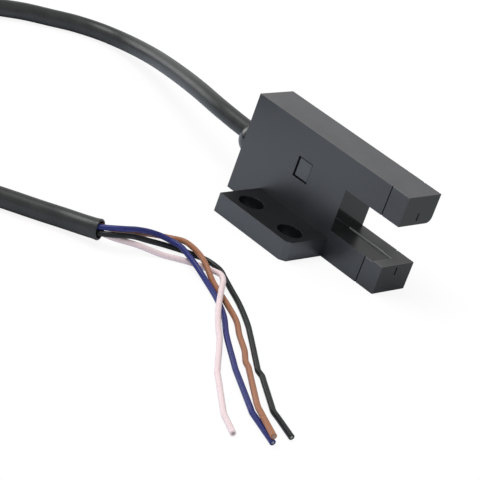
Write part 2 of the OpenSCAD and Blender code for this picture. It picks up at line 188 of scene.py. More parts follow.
# Core routes after the end of the jacket, in millimetres
CORE_ROUTES = {
    "blue": [
        (-0.9, -21.9, 2.6),
        (-0.9, -19.9, 2.3),
        (-0.9, -17.8, 1.8),
        (-0.6, -16.1, 1.3),
        (0.3, -15.3, 1.1),
        (1.4, -15, 1.1),
        (3, -15.3, 1.05),
        (4.6, -15.6, 0.85),
        (6.3, -15.9, 0.5),
        (10.3, -17.5, 0.32),
        (13.1, -19.2, 0.32),
        (16.1, -21.7, 0.32),
        (21.2, -25.4, 0.32),
        (21.5, -25.6, 0.32),
        (27.5, -29.3, 0.32),
        (27.8, -29.5, 0.32),
        (32.4, -31.2, 0.32),
    ],
    "brown": [
        (-2, -21.7, 1.85),
        (-1.75, -20.4, 1.6),
        (-1.75, -18.4, 1.2),
        (-2, -15.6, 0.55),
        (-1.2, -14.1, 0.5),
        (0.4, -13.5, 0.95),
        (2, -13.6, 1.1),
        (3.7, -14, 1.1),
        (5.1, -14.6, 1.05),
        (7.4, -15.4, 0.4),
        (11.5, -17.1, 0.32),
        (14.3, -18.5, 0.32),
        (16.5, -20.2, 0.32),
        (19, -21.9, 0.32),
        (20.7, -23.4, 0.32),
        (21.5, -23.8, 0.34),
        (27.4, -28.7, 0.9),
        (28.1, -29.2, 0.95),
        (32.4, -31.4, 1.05),
    ],
    "black": [
        (-1.2, -22.8, 1.8),
        (-0.8, -21.5, 1.8),
        (-0.9, -19.9, 1.45),
        (-0.8, -17.7, 0.8),
        (-0.3, -15.7, 0.36),
        (1, -14.3, 0.32),
        (2.2, -13.4, 0.32),
        (3.5, -12.6, 0.32),
        (5.5, -12.5, 0.32),
        (7, -13.2, 0.32),
        (9, -14.2, 0.32),
        (11.8, -15.6, 0.32),
        (15.2, -17.7, 0.32),
        (16.8, -18.9, 0.32),
        (22.3, -23.2, 0.32),
        (23.2, -23.5, 0.32),
        (28.4, -27.1, 0.32),
        (29.6, -27.5, 0.32),
        (32.3, -28.5, 0.32),
    ],
    "pink": [
        (-1.5, -22.1, 1.15),
        (-0.1, -19.9, 0.9),
        (1.5, -17.4, 0.36),
        (3.4, -15.1, 0.32),
        (5.4, -13.9, 0.45),
        (6.4, -14, 0.75),
        (7.3, -14.3, 1),
        (8.4, -15.1, 1.05),
        (9.7, -16.6, 1.05),
        (13, -20.2, 0.95),
        (14.9, -21.8, 0.5),
        (16.4, -23, 0.34),
        (21.4, -28.1, 0.32),
        (21.7, -28.3, 0.32),
        (27, -32.6, 0.32),
        (27.3, -32.8, 0.32),
        (30, -34.2, 0.32),
    ],
}

# The last points of each core before its end are kinks, made by straight pieces that meet in a short bend
KINKS = 4

# Points on each side of a kink: distance from it in millimetres, and at most this share of the straight piece
KINK_NEAR = (0.1, 0.3)
KINK_FAR = (1.2, 0.45)

# Camera: place in millimetres, and its own right, up and backward directions
CAMERA_PLACE = (130.74, -176.03, 96.46)
CAMERA_RIGHT = (0.66259, 0.67961, 0.31482)
CAMERA_UP = (-0.50639, 0.09678, 0.85686)
CAMERA_BACK = (0.55186, -0.72716, 0.40827)

# Camera: width of the sensor in millimetres, and nearest and farthest distance in view
SENSOR_WIDTH = 36
VIEW_NEAR = 10 * MM
VIEW_FAR = 10

# Floor: half its width, and how far it lies below the mounting face
FLOOR_HALF = 2.5
FLOOR_DROP = 0.01 * MM

# For other rays than the camera's the floor darkens along a direction, between two distances from the origin:
# a painted shadow behind the tips
SHADOW_WAY = (0.6, 0.8, 0)
SHADOW_RANGE = (1 * MM, 16 * MM)

# Floor in the camera's view: its colour, and the share and strength of the white that it shows
SHOWN_COLOUR = (0.9, 0.9, 0.9, 1.0)
WHITE_SHARE = 0.85
WHITE_STRENGTH = 1.03

# The surroundings grow brighter towards a direction, from one cosine of the angle to it up to the other
BACK_WAY = (-0.75, 0.57, 0.33)
BACK_RANGE = (0.86, 1.0)

# Soft lights: place and target in millimetres, and width in metres
KEY_LIGHT = ((-150, -130, 400), (0, 0, 0), 0.26)
SIDE_LIGHT = ((-300, -30, 52), (-10, 5, 6), 0.15)


class ForkSensorSizes(PropertyGroup):
    """Sizes of the pieces that are made here"""
    jacket_diameter: FloatProperty(
        name="Jacket diameter", description="Outside diameter of the cable",
        default=2.2 * MM, unit="LENGTH")
    jacket_wall: FloatProperty(
        name="Jacket wall", description="Thickness of the jacket at its cut end",
        default=0.2 * MM, unit="LENGTH")
    mouth_depth: FloatProperty(
        name="Hollow end", description="Depth to which the cut end of the jacket is open",
        default=1.2 * MM, unit="LENGTH")
    mouth_flare: FloatProperty(
        name="Rim", description="How far the cut rim of the jacket stands out",
        default=0.05 * MM, unit="LENGTH")
    core_diameter: FloatProperty(
        name="Core diameter", description="Outside diameter of one core",
        default=0.62 * MM, unit="LENGTH")
    coil_radius: FloatProperty(
        name="Coil radius", description="Radius at the middle of the turns",
        default=12.05 * MM, unit="LENGTH")
    coil_pitch: FloatProperty(
        name="Coil pitch", description="Distance between neighbouring turns",
        default=2.35 * MM, unit="LENGTH")
    coil_shift: FloatProperty(
        name="Shift sector", description="Part of a turn in which it moves to the next place",
        default=math.radians(80), subtype="ANGLE")
    coil_rise: FloatProperty(
        name="Rise sector", description="Part of a turn in which it climbs to the upper layer",
        default=math.radians(90), subtype="ANGLE")
    tie_angle: FloatProperty(
        name="Strap angle", description="Place of the strap round the coil",
        default=math.radians(225), subtype="ANGLE")
    tie_lift: FloatProperty(
        name="Strap lift", description="How far the turns rise over the strap",
        default=0.35 * MM, unit="LENGTH")
    edge_radius: FloatProperty(
        name="Edge radius", description="Rounding of the moulded edges",
        default=0.09 * MM, unit="LENGTH")
    seam_place: FloatProperty(
        name="Seam", description="Place along X where caps and case meet flush",
        default=10.85 * MM, unit="LENGTH")
    strand_count: IntProperty(
        name="Outer strands", description="Strands round the middle one of a core",
        default=6)


class ForkSensorFinish(PropertyGroup):
    """Colours of the finishes"""
    case_colour: FloatVectorProperty(
        name="Case", description="Colour of the moulded case",
        default=(0.015, 0.0165, 0.021), size=3, subtype="COLOR")
    # Darker colour of flange top, hole walls, slot recess, beam marks and slot end: a painted shade
    shaded_colour: FloatVectorProperty(
        name="Case with painted shade", description="Colour of the low faces of the case",
        default=(0.006, 0.0068, 0.008), size=3, subtype="COLOR")
    # Lighter colour of the rounded edges: a painted highlight
    edge_highlight_colour: FloatVectorProperty(
        name="Edges", description="Colour of the rounded edges",
        default=(0.035, 0.037, 0.04), size=3, subtype="COLOR")
    # Light colour of the strip's edge in the slot: a painted highlight
    highlight_colour: FloatVectorProperty(
        name="Scuffed edge", description="Colour of the scuffed edge in the slot",
        default=(0.34, 0.355, 0.355), size=3, subtype="COLOR")
    window_colour: FloatVectorProperty(
        name="Window", description="Colour of the window",
        default=(0.025, 0.027, 0.03), size=3, subtype="COLOR")
    resin_colour: FloatVectorProperty(
        name="Resin", description="Colour of the potting",
        default=(0.008, 0.008, 0.009), size=3, subtype="COLOR")
    jacket_colour: FloatVectorProperty(
        name="Jacket", description="Colour of the cable jacket",
        default=(0.012, 0.0135, 0.0135), size=3, subtype="COLOR")
    blue_colour: FloatVectorProperty(
        name="Blue core", description="Colour of the blue core",
        default=(0.016, 0.022, 0.155), size=3, subtype="COLOR")
    brown_colour: FloatVectorProperty(
        name="Brown core", description="Colour of the brown core",
        default=(0.36, 0.15, 0.075), size=3, subtype="COLOR")
    black_colour: FloatVectorProperty(
        name="Black core", description="Colour of the black core",
        default=(0.006, 0.0075, 0.0075), size=3, subtype="COLOR")
    pink_colour: FloatVectorProperty(
        name="Pink core", description="Colour of the pink core",
        default=(0.84, 0.68, 0.69), size=3, subtype="COLOR")


class ForkSensorStage(PropertyGroup):
    """Camera and light"""
    lens: FloatProperty(
        name="Lens", description="Focal length for a 36 mm sensor, in millimetres",
        default=162.8)
    floor_colour: FloatVectorProperty(
        name="Floor", description="Colour of the floor towards the key light",
        default=(0.84, 0.9, 1.0), size=3, subtype="COLOR")
    # Colour of the floor behind the tips: a painted shadow, seen in reflections
    shadow_colour: FloatVectorProperty(
        name="Floor with painted shadow", description="Colour of the floor behind the tips",
        default=(0.36, 0.385, 0.385), size=3, subtype="COLOR")
    world_strength: FloatProperty(
        name="Surrounding light", description="Strength of the white surroundings",
        default=0.58)
    back_strength: FloatProperty(
        name="Backdrop light", description="Strength of the surroundings behind the cable",
        default=0.93)
    key_power: FloatProperty(
        name="Key light", description="Power of the soft light at the front left, in watts",
        default=1.0)
    side_power: FloatProperty(
        name="Side light", description="Power of the small light on the cable's side, in watts",
        default=0.16)


def metres(point):
    """Point in millimetres as a vector in metres"""
    return Vector(point) * MM


def smooth_step(t):
    """Rises from 0 to 1 with flat ends"""
    t = min(max(t, 0.0), 1.0)
    return t * t * (3 - 2 * t)


def smooth_route(points, step):
    """Even points on a smooth curve through the given ones"""
    ends = [points[0] * 2 - points[1]] + list(points) + [points[-1] * 2 - points[-2]]
    dense = []
    for a, b, c, d in zip(ends, ends[1:], ends[2:], ends[3:]):
        t1 = (b - a).length ** 0.5
        t2 = t1 + (c - b).length ** 0.5
        t3 = t2 + (d - c).length ** 0.5
        for k in range(CURVE_STEPS):
            t = t1 + (t2 - t1) * k / CURVE_STEPS
            ab = a * ((t1 - t) / t1) + b * (t / t1)
            bc = b * ((t2 - t) / (t2 - t1)) + c * ((t - t1) / (t2 - t1))
            cd = c * ((t3 - t) / (t3 - t2)) + d * ((t - t2) / (t3 - t2))
            abc = ab * ((t2 - t) / t2) + bc * (t / t2)
            bcd = bc * ((t3 - t) / (t3 - t1)) + cd * ((t - t1) / (t3 - t1))
            dense.append(abc * ((t2 - t) / (t2 - t1)) + bcd * ((t - t1) / (t2 - t1)))
    dense.append(points[-1].copy())
    return even_points(dense, step)


def even_points(line, step):
    """The same line with points about one step apart"""
    lengths = [0.0]
    for a, b in zip(line, line[1:]):
        lengths.append(lengths[-1] + (b - a).length)
    count = max(2, round(lengths[-1] / step))
    result = []
    k = 0
    for i in range(count + 1):
        target = lengths[-1] * i / count
        while k < len(line) - 2 and lengths[k + 1] < target:
            k += 1
        span = lengths[k + 1] - lengths[k]
        share = (target - lengths[k]) / span if span else 0.0
        result.append(line[k].lerp(line[k + 1], share))
    return result


def winding(sizes):
    """Points of the coil: one layer inwards, then one outwards on top of it"""
    radius = sizes.jacket_diameter / 2
    shift, rise = sizes.coil_shift, sizes.coil_rise
    turn = 2 * math.pi
    total = (2 * COIL_WIDE - COIL_OPEN) * turn
    count = round(total / COIL_STEP)
    points = []
    for i in range(count + 1):
        angle = total * i / count
        column = (COIL_WIDE - 1) / 2
        for k in range(1, COIL_WIDE):
            column -= smooth_step((angle - (turn * k - shift)) / shift)
            column += smooth_step((angle - (turn * (COIL_WIDE + k) - 2 * shift - rise)) / shift)
        layer = smooth_step((angle - (turn * COIL_WIDE - shift - rise)) / rise)
        r = sizes.coil_radius + column * sizes.coil_pitch
        heading = math.pi + angle
        off = (heading - sizes.tie_angle + math.pi) % turn - math.pi
        lift = sizes.tie_lift * smooth_step(1 - (abs(off * r) - TIE_REACH) / TIE_FADE)
        points.append(Vector((
            COIL_CENTRE[0] * MM + r * math.cos(heading),
            COIL_CENTRE[1] * MM + r * math.sin(heading),
            radius + layer * sizes.coil_pitch + lift,
        )))
    return points


def cable_points(sizes):
    """Whole route of the cable, from inside the resin to the end of the jacket"""
    coil = winding(sizes)
    before = coil[0] + Vector((0, COIL_ENTRY, 0))
    after = coil[-1] + Vector((COIL_LEAVE, 0, 0))
    lead = [metres(p) for p in LEAD_ROUTE]
    tail = [metres(p) for p in TAIL_ROUTE]
    return smooth_route(lead + [before] + coil + [after] + tail, CABLE_STEP)


def kinked(points, first):
    """The route with each point from the first kink on, except the end, replaced by a short bend"""
    route = list(points[:first])
    for before, kink, after in zip(points[first - 1:], points[first:], points[first + 1:]):
        back = before - kink
        ahead = after - kink
        arms = ((back, KINK_FAR), (back, KINK_NEAR), (ahead, KINK_NEAR), (ahead, KINK_FAR))
        for arm, (reach, share) in arms:
            route.append(kink + arm * min(reach * MM / arm.length, share))
    return route + [points[-1]]


def core_points(colour, sizes):
    """Route of one core, from inside the jacket to its cut end"""
    seat = CORE_SEATS[colour]
    rise = metres(JACKET_WAY).cross(Vector(JACKET_ACROSS))
    start = metres(TAIL_ROUTE[-1]) + metres(JACKET_ACROSS) * seat[0] + rise * seat[1]
    inside = start - metres(JACKET_WAY) * CORE_INSIDE
    control = [inside, start] + [metres(p) for p in CORE_ROUTES[colour]]
    line = smooth_route(kinked(control, len(control) - 1 - KINKS), CORE_STEP)
    lowest = sizes.core_diameter / 2
    return [Vector((p.x, p.y, max(p.z, lowest))) for p in line]


def link(tree, source, target):
    """Joins two node sockets"""
    tree.links.new(source, target)


def group_socket(tree, name, kind, direction="INPUT"):
    """Adds one named socket to a node group"""
    tree.interface.new_socket(name=name, in_out=direction, socket_type=kind)


def colour_mix(tree):
    """Adds a node that mixes two colours"""
    mix = tree.nodes.new("ShaderNodeMix")
    mix.data_type = "RGBA"
    return mix


def grain_group():
    """Shader group: fine grain of a surface, and its soft, larger variation"""
    name = "Surface grain"
    if name in bpy.data.node_groups:
        return bpy.data.node_groups[name]
    tree = bpy.data.node_groups.new(name, "ShaderNodeTree")
    group_socket(tree, "Grain scale", "NodeSocketFloat")
    group_socket(tree, "Patch scale", "NodeSocketFloat")
    group_socket(tree, "Height", "NodeSocketFloat", "OUTPUT")
    group_socket(tree, "Patches", "NodeSocketFloat", "OUTPUT")
    inputs = tree.nodes.new("NodeGroupInput")
    outputs = tree.nodes.new("NodeGroupOutput")
    place = tree.nodes.new("ShaderNodeTexCoord")
    grain = tree.nodes.new("ShaderNodeTexNoise")
    grain.inputs["Detail"].default_value = 3.0
    grain.inputs["Roughness"].default_value = 0.6
    patch = tree.nodes.new("ShaderNodeTexNoise")
    patch.inputs["Detail"].default_value = 4.0
    spread = tree.nodes.new("ShaderNodeMapRange")
    spread.inputs["From Min"].default_value = 0.3
    spread.inputs["From Max"].default_value = 0.7
    link(tree, place.outputs["Object"], grain.inputs["Vector"])
    link(tree, place.outputs["Object"], patch.inputs["Vector"])
    link(tree, inputs.outputs["Grain scale"], grain.inputs["Scale"])
    link(tree, inputs.outputs["Patch scale"], patch.inputs["Scale"])
    link(tree, patch.outputs["Fac"], spread.inputs["Value"])
    link(tree, grain.outputs["Fac"], outputs.inputs["Height"])
    link(tree, spread.outputs["Result"], outputs.inputs["Patches"])
    return tree


def finish_material(name, colour, tone, roughness, grain=8000.0, patch=400.0, depth=0.004, bump=0.2,
                    gloss=0.5, metallic=0.0):
    """Material with grain: two tones of one colour, a range of roughness and a fine bump"""
    if name in bpy.data.materials:
        return bpy.data.materials[name]
    material = bpy.data.materials.new(name)
    material.use_nodes = True
    tree = material.node_tree
    shader = tree.nodes["Principled BSDF"]
    shader.inputs["Metallic"].default_value = metallic
    shader.inputs["Specular IOR Level"].default_value = gloss
    surface = tree.nodes.new("ShaderNodeGroup")
    surface.node_tree = grain_group()
    surface.inputs["Grain scale"].default_value = grain
    surface.inputs["Patch scale"].default_value = patch
    mix = colour_mix(tree)
    mix.inputs["A"].default_value = (*colour, 1.0)
    mix.inputs["B"].default_value = (*tone, 1.0)
    rough = tree.nodes.new("ShaderNodeMapRange")
    rough.inputs["To Min"].default_value = roughness[0]
    rough.inputs["To Max"].default_value = roughness[1]
    relief = tree.nodes.new("ShaderNodeBump")
    relief.inputs["Strength"].default_value = bump
    relief.inputs["Distance"].default_value = depth * MM
    link(tree, surface.outputs["Patches"], mix.inputs["Factor"])
    link(tree, mix.outputs["Result"], shader.inputs["Base Color"])
    link(tree, surface.outputs["Patches"], rough.inputs["Value"])
    link(tree, rough.outputs["Result"], shader.inputs["Roughness"])
    link(tree, surface.outputs["Height"], relief.inputs["Height"])
    link(tree, relief.outputs["Normal"], shader.inputs["Normal"])
    return material


def lighter(colour, share):
    """The colour moved towards white"""
    return tuple(c + (1 - c) * share for c in colour)


def toned_finish(name, colour, share, roughness, **surface):
    """Material whose second tone is its colour moved a share towards white"""
    return finish_material(name, colour, lighter(colour, share), roughness, **surface)


def end_tree(tree, inputs, geometry):
    """Ends a geometry tree: the geometry is made real and gets the given material"""
    real = tree.nodes.new("GeometryNodeRealizeInstances")
    paint = tree.nodes.new("GeometryNodeSetMaterial")
    outputs = tree.nodes.new("NodeGroupOutput")
    link(tree, geometry, real.inputs["Geometry"])
    link(tree, real.outputs["Geometry"], paint.inputs["Geometry"])
    link(tree, inputs.outputs["Material"], paint.inputs["Material"])
    link(tree, paint.outputs["Geometry"], outputs.inputs["Geometry"])


def cord_tree():
    """Geometry nodes: a round cord along a line of edges"""
    name = "Round cord"
    if name in bpy.data.node_groups:
        return bpy.data.node_groups[name]
    tree = bpy.data.node_groups.new(name, "GeometryNodeTree")
    group_socket(tree, "Geometry", "NodeSocketGeometry")
    group_socket(tree, "Radius", "NodeSocketFloat")
    group_socket(tree, "Sides", "NodeSocketInt")
    group_socket(tree, "Material", "NodeSocketMaterial")
    group_socket(tree, "Geometry", "NodeSocketGeometry", "OUTPUT")
    inputs = tree.nodes.new("NodeGroupInput")
    line = tree.nodes.new("GeometryNodeMeshToCurve")
    profile = tree.nodes.new("GeometryNodeCurvePrimitiveCircle")
    sweep = tree.nodes.new("GeometryNodeCurveToMesh")
    sweep.inputs["Fill Caps"].default_value = True
    shade = tree.nodes.new("GeometryNodeSetShadeSmooth")
    link(tree, inputs.outputs["Geometry"], line.inputs["Mesh"])
    link(tree, inputs.outputs["Sides"], profile.inputs["Resolution"])
    link(tree, inputs.outputs["Radius"], profile.inputs["Radius"])
    link(tree, line.outputs["Curve"], sweep.inputs["Curve"])
    link(tree, profile.outputs["Curve"], sweep.inputs["Profile Curve"])
    link(tree, sweep.outputs["Mesh"], shade.inputs["Geometry"])
    end_tree(tree, inputs, shade.outputs["Geometry"])
    return tree


def strand_tree():
    """Geometry nodes: a ring of strands round a middle one, along Z"""
    name = "Conductor strands"
    if name in bpy.data.node_groups:
        return bpy.data.node_groups[name]
    tree = bpy.data.node_groups.new(name, "GeometryNodeTree")
    group_socket(tree, "Geometry", "NodeSocketGeometry")
    group_socket(tree, "Strand radius", "NodeSocketFloat")
    group_socket(tree, "Strand length", "NodeSocketFloat")
    group_socket(tree, "Outer strands", "NodeSocketInt")
    group_socket(tree, "Material", "NodeSocketMaterial")
    group_socket(tree, "Geometry", "NodeSocketGeometry", "OUTPUT")
    inputs = tree.nodes.new("NodeGroupInput")
    ring = tree.nodes.new("GeometryNodeMeshCircle")
    both = tree.nodes.new("GeometryNodeJoinGeometry")
    spacing = tree.nodes.new("ShaderNodeMath")
    spacing.operation = "MULTIPLY"
    spacing.inputs[1].default_value = STRAND_SPACING
    strand = tree.nodes.new("GeometryNodeMeshCylinder")
    strand.inputs["Vertices"].default_value = STRAND_SIDES
    place = tree.nodes.new("GeometryNodeInstanceOnPoints")
    link(tree, inputs.outputs["Outer strands"], ring.inputs["Vertices"])
    link(tree, inputs.outputs["Strand radius"], spacing.inputs[0])
    link(tree, spacing.outputs["Value"], ring.inputs["Radius"])
    link(tree, inputs.outputs["Geometry"], both.inputs["Geometry"])
    link(tree, ring.outputs["Mesh"], both.inputs["Geometry"])
    link(tree, both.outputs["Geometry"], place.inputs["Points"])
    link(tree, inputs.outputs["Strand radius"], strand.inputs["Radius"])
    link(tree, inputs.outputs["Strand length"], strand.inputs["Depth"])
    link(tree, strand.outputs["Mesh"], place.inputs["Instance"])
    end_tree(tree, inputs, place.outputs["Instances"])
    return tree


def placed(name, data):
    """Object of the given data, linked to the scene"""
    obj = bpy.data.objects.new(name, data)
    bpy.context.scene.collection.objects.link(obj)
    return obj


def applied_mesh(name, helper):
    """Plain mesh of a helper object with its modifiers applied, after which the helper is removed"""
    bpy.context.view_layer.update()
    depsgraph = bpy.context.evaluated_depsgraph_get()
    mesh = bpy.data.meshes.new_from_object(helper.evaluated_get(depsgraph))
    mesh.name = name
    source = helper.data
    helper.modifiers.clear()
    bpy.data.objects.remove(helper)
    bpy.data.meshes.remove(source)
    return mesh


def grown_mesh(name, seed, tree, values):
    """Plain mesh that a geometry node tree makes from a seed mesh"""
    helper = placed(name + "_seed", seed)
    modifier = helper.modifiers.new(tree.name, "NODES")
    modifier.node_group = tree
    for item in tree.interface.items_tree:
        if item.in_out == "INPUT" and item.name in values:
            modifier[item.identifier] = values[item.name]
    return applied_mesh(name, helper)


def line_mesh(name, points):
    """Open line of edges through the points"""
    mesh = bpy.data.meshes.new(name + "_line")
    mesh.from_pydata([tuple(p) for p in points], [(i, i + 1) for i in range(len(points) - 1)], [])
    return mesh


def cord_mesh(name, points, radius, sides, material):
    """Round cord along the points, with flat ends"""
    values = {"Radius": radius, "Sides": sides, "Material": material}
    mesh = grown_mesh(name, line_mesh(name, points), cord_tree(), values)
    mesh.set_sharp_from_angle(angle=math.radians(CORD_SHARP))
    return mesh


def end_frame(place, way):
    """Matrix that puts Z along a direction at a place"""
    return Matrix.Translation(place) @ way.to_track_quat("Z", "Y").to_matrix().to_4x4()


def piece(name, mesh, nodes=()):
    """Object for a finished mesh, riding on the body and standing for its nodes"""
    obj = placed(name, mesh)
    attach(obj, BODY)
    if nodes:
        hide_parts(*nodes)
    return obj


def turned_mesh(name, profile, material, steps=48, blend=60):
    """Surface of revolution about Z from pairs of radius and height, smooth up to an angle in degrees"""
    bm = bmesh.new()
    verts = [bm.verts.new((r, 0, z)) for r, z in profile]
    edges = [bm.edges.new(pair) for pair in zip(verts, verts[1:])]
    bmesh.ops.spin(bm, geom=verts + edges, cent=(0, 0, 0), axis=(0, 0, 1), angle=2 * math.pi, steps=steps)
    bmesh.ops.remove_doubles(bm, verts=bm.verts, dist=SPIN_REACH)
    bmesh.ops.recalc_face_normals(bm, faces=bm.faces)
    for face in bm.faces:
        face.smooth = True
    mesh = bpy.data.meshes.new(name)
    bm.to_mesh(mesh)
    bm.free()
    mesh.set_sharp_from_angle(angle=math.radians(blend))
    mesh.materials.append(material)
    return mesh


def mouth_profile(sizes):
    """Radius and height along the cut end of the jacket: foot, outside, rim, and hollow with its floor"""
    radius = sizes.jacket_diameter / 2
    bore = radius - sizes.jacket_wall
    foot = -sizes.mouth_depth - MOUTH_OVERLAP
    floor = -sizes.mouth_depth + MOUTH_FLOOR
    outside = [(0, foot), (radius + MOUTH_COVER, foot), (radius + MOUTH_COVER, RIM_START)]
    rim = [(radius + share * sizes.mouth_flare, height * MM) for share, height in RIM_POINTS]
    lip = [(radius, LIP_TOP), (bore + LIP_ACROSS, LIP_TOP), (bore, LIP_FOOT)]
    return outside + rim + lip + [(bore, floor), (0, floor)]


def at_mark(place):
    """Whether a point lies in a beam mark or on its rim"""
    return place.x > TIP_FACE - MARK_DEPTH and abs(place.y - MIDDLE_PLANE) < MARK_REACH


def low_finish(face):
    """Finish of a face of case or cap, by its place and the way it looks; low and inner faces get a darker
    colour of painted shade, low sloped faces a painted highlight
    """
    middle = face.calc_center_median()
    if math.hypot(abs(middle.x) - HOLE_PLACE, middle.y) < HOLE_REACH:
        return SHADED_DULL
    if at_mark(middle) and middle.x < TIP_FACE - PLANE_REACH:
        return SHADED_SATIN
    if middle.z > LOW_FACES and face.normal.x > STRAIGHT and abs(middle.x - SLOT_END) < PLANE_REACH:
        return SHADED_SMOOTH
    if middle.z > LOW_FACES or face.normal.z < SLOPED:
        return PLASTIC
    # Low sloped faces get a light colour, a painted highlight
    if face.normal.z < STRAIGHT:
        return PAINTED_HIGHLIGHT
    low, high = RECESS_HEIGHTS
    return SHADED_SATIN if low < middle.z < high else SHADED_DULL


def eased_mesh(node, name, width, finishes, flush=None, hollows=False, segments=3, limit=35, blend=12,
               low_finishes=False):
    """Copy of a node's mesh with its sharp edges rounded, apart from beam marks and the flush plane across X.
    Inner edges are rounded only with hollows, and the last finish goes on the roundings"""
    bm = bmesh.new()
    bm.from_mesh(NODES[node].data)
    bmesh.ops.remove_doubles(bm, verts=bm.verts, dist=WELD_REACH)
    bmesh.ops.dissolve_limit(bm, angle_limit=math.radians(FLAT_ANGLE), verts=bm.verts, edges=bm.edges)
    bm.normal_update()
    weights = bm.edges.layers.float.new("bevel_weight_edge")
    for edge in bm.edges:
        in_plane = flush is not None and all(abs(v.co.x - flush) < WELD_REACH for v in edge.verts)
        sharp = edge.calc_face_angle(0) > math.radians(limit)
        marked = low_finishes and all(at_mark(v.co) for v in edge.verts)
        rounded = sharp and not in_plane and not marked and (hollows or edge.is_convex)
        edge[weights] = 1.0 if rounded else 0.0
    for face in bm.faces:
        face.smooth = True
        face.material_index = low_finish(face) if low_finishes else PLASTIC
    mesh = bpy.data.meshes.new(name + "_sharp")
    bm.to_mesh(mesh)
    bm.free()
    if mesh.has_custom_normals:
        mesh.attributes.remove(mesh.attributes["custom_normal"])
    for material in finishes:
        mesh.materials.append(material)
    helper = placed(name + "_helper", mesh)
    bevel = helper.modifiers.new("Edges", "BEVEL")
    bevel.width = width
    bevel.segments = segments
    bevel.limit_method = "WEIGHT"
    bevel.miter_outer = "MITER_ARC"
    bevel.material = len(finishes) - 1
    result = applied_mesh(name, helper)
    bm = bmesh.new()
    bm.from_mesh(result)
    bmesh.ops.dissolve_degenerate(bm, dist=MERGE_REACH, edges=bm.edges)
    bm.to_mesh(result)
    bm.free()
    result.set_sharp_from_angle(angle=math.radians(blend))
    return result


class CameraOperator(Operator):
    """Makes the camera at the photograph's viewing angle"""
    bl_idname = "fork_sensor.camera"
    bl_label = "Camera"

    def execute(self, context):
        data = bpy.data.cameras.new("Camera")
        data.lens = context.scene.fork_sensor_stage.lens
        data.sensor_width = SENSOR_WIDTH
        data.clip_start = VIEW_NEAR
        data.clip_end = VIEW_FAR
        camera = placed("Camera", data)
        turn = Matrix((CAMERA_RIGHT, CAMERA_UP, CAMERA_BACK)).transposed().to_4x4()
        camera.matrix_world = Matrix.Translation(metres(CAMERA_PLACE)) @ turn
        context.scene.camera = camera
        return {"FINISHED"}


class CableOperator(Operator):
    """Makes the cable with its coil, its cut end and the strap"""
    bl_idname = "fork_sensor.cable"
    bl_label = "Cable"

    def execute(self, context):
        sizes = context.scene.fork_sensor_sizes
        finish = context.scene.fork_sensor_finish
        jacket = toned_finish("Cable jacket", finish.jacket_colour, 0.012, (0.35, 0.42),
                              grain=9000, patch=700, depth=0.003, bump=0.03)
        points = cable_points(sizes)
        hollow = round(sizes.mouth_depth / CABLE_STEP)
        mesh = cord_mesh("cable", points[:-hollow], sizes.jacket_diameter / 2, CABLE_SIDES, jacket)
        cable = piece("cable", mesh, ("cable_lead", "cable_coil", "cable_tail"))
        mouth_mesh = turned_mesh("cable_mouth", mouth_profile(sizes), jacket)
        mouth_mesh.transform(end_frame(metres(TAIL_ROUTE[-1]), Vector(JACKET_WAY)))
        mouth = piece("cable_mouth", mouth_mesh)
        strap_finish = finish_material("Strap", (0.02, 0.02, 0.021), (0.03, 0.03, 0.031), (0.35, 0.5))
        strap_mesh = eased_mesh("coil_tie", "coil_strap", STRAP_EDGE, [strap_finish])
        strap = piece("coil_strap", strap_mesh, ("coil_tie",))
        return {"FINISHED"}


class CoresOperator(Operator):
    """Makes the four cores with their tinned ends"""
    bl_idname = "fork_sensor.cores"
    bl_label = "Cores"

    def execute(self, context):
        sizes = context.scene.fork_sensor_sizes
        finish = context.scene.fork_sensor_finish
        colours = {
            "blue": finish.blue_colour,
            "brown": finish.brown_colour,
            "black": finish.black_colour,
            "pink": finish.pink_colour,
        }
        tinned = finish_material("Tinned strands", (0.34, 0.29, 0.26), (0.42, 0.36, 0.32), (0.35, 0.5),
                                 metallic=1.0)
        for name, colour in colours.items():
            insulation = toned_finish("Insulation " + name, colour, 0.01, (0.3, 0.38),
                                      grain=12000, patch=900, depth=0.003, bump=0.12, gloss=0.3)
            points = core_points(name, sizes)
            wire = "core_" + name + "_wire"
            mesh = cord_mesh(wire, points, sizes.core_diameter / 2, CORE_SIDES, insulation)
            core = piece(wire, mesh, ("core_" + name,))
            seed = bpy.data.meshes.new("strand_seed")
            seed.from_pydata([(0, 0, 0)], [], [])
            values = {
                "Strand radius": STRAND_RADIUS,
                "Strand length": STRAND_LENGTH,
                "Outer strands": sizes.strand_count,
                "Material": tinned,
            }
            strands_mesh = grown_mesh("core_" + name + "_strands", seed, strand_tree(), values)
            way = (points[-1] - points[-3]).normalized()
            strands_mesh.transform(end_frame(points[-1] - way * STRAND_DEPTH, way))
            strands = piece("core_" + name + "_strands", strands_mesh)
        return {"FINISHED"}


